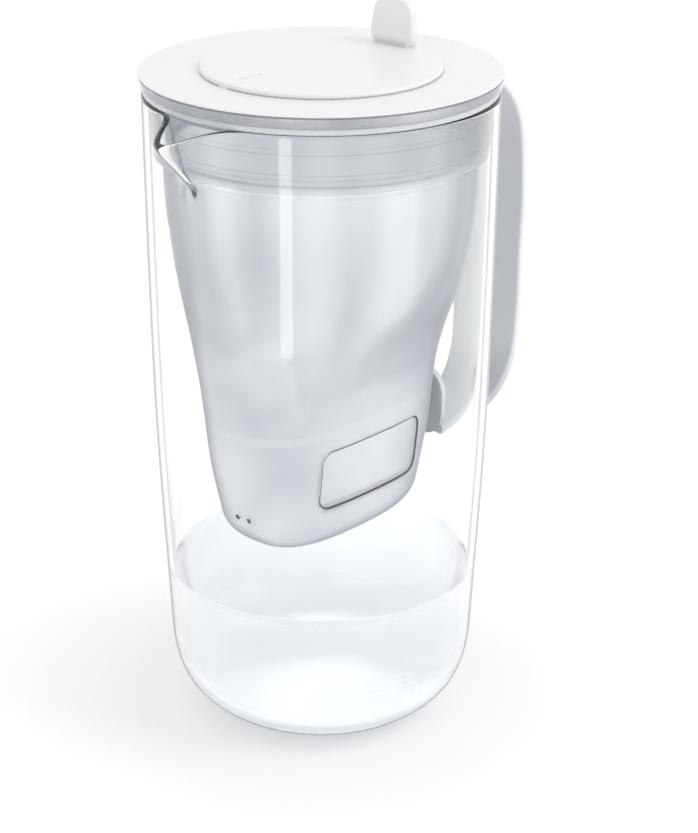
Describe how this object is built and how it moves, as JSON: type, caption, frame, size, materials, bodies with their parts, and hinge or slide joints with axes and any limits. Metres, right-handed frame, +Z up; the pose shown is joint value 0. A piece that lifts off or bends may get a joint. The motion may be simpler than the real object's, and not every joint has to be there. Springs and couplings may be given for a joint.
{
  "type": "water filter pitcher",
  "caption": "Clear glass pitcher with strap handle, pinched spout, lift-out funnel holding a filter cartridge, and a round lid with a hinged filling flap.",
  "frame": {"origin": "centre of the glass base, on the face it stands on", "axes": "+Z up; spout toward -X, handle toward +X; Y is the width"},
  "size_m": [0.1984, 0.138, 0.285],
  "materials": {
    "jug_glass": "clear polished glass",
    "handle_grey": "satin light grey plastic",
    "bond_clear": "clear adhesive",
    "gasket_soft": "soft milky silicone",
    "funnel_tint": "clear plastic with a cool grey tint",
    "cartridge_white": "satin white plastic",
    "screen_mesh": "fine woven plastic mesh",
    "media_granules": "dark grains with pale beads",
    "lid_white": "soft-gloss white plastic",
    "flap_white": "soft-gloss white plastic",
    "window_clear": "frosted clear plastic",
    "pin_steel": "drawn steel",
    "board_green": "coated circuit board",
    "led_clear": "clear moulded lens",
    "cell_steel": "nickel-plated steel"
  },
  "bodies": {
    "jug": {"glass_jug": "jug_glass", "handle_strap": "handle_grey", "handle_bond_upper": "bond_clear", "handle_bond_lower": "bond_clear"},
    "funnel_unit": {"funnel": "funnel_tint", "rim_gasket": "gasket_soft"},
    "cartridge": {"cartridge_cup": "cartridge_white", "cartridge_cap": "cartridge_white", "inlet_screen": "screen_mesh", "outlet_screen": "screen_mesh", "filter_media": "media_granules"},
    "lid": {"lid_plate": "lid_white", "hinge_pin": "pin_steel"},
    "flap": {"flap_cover": "flap_white", "light_guide": "window_clear", "flap_base": "flap_white", "indicator_board": "board_green", "indicator_led": "led_clear", "coin_cell": "cell_steel", "cell_clip": "pin_steel", "cell_door": "flap_white", "base_screws": "pin_steel"}
  },
  "joints": [
    {"name": "funnel_lift", "type": "slide", "parent": "jug", "child": "funnel_unit", "axis": [0, 0, 1], "range_m": [0, 0.2]},
    {"name": "cartridge_lift", "type": "slide", "parent": "funnel_unit", "child": "cartridge", "axis": [0, 0, 1], "range_m": [0, 0.08]},
    {"name": "lid_lift", "type": "slide", "parent": "funnel_unit", "child": "lid", "axis": [0, 0, 1], "range_m": [0, 0.08]},
    {"name": "flap_hinge", "type": "hinge", "parent": "lid", "child": "flap", "pos_m": [0.0463, 0, 0.263], "axis": [0, 1, 0], "range_deg": [0, 75]}
  ]
}
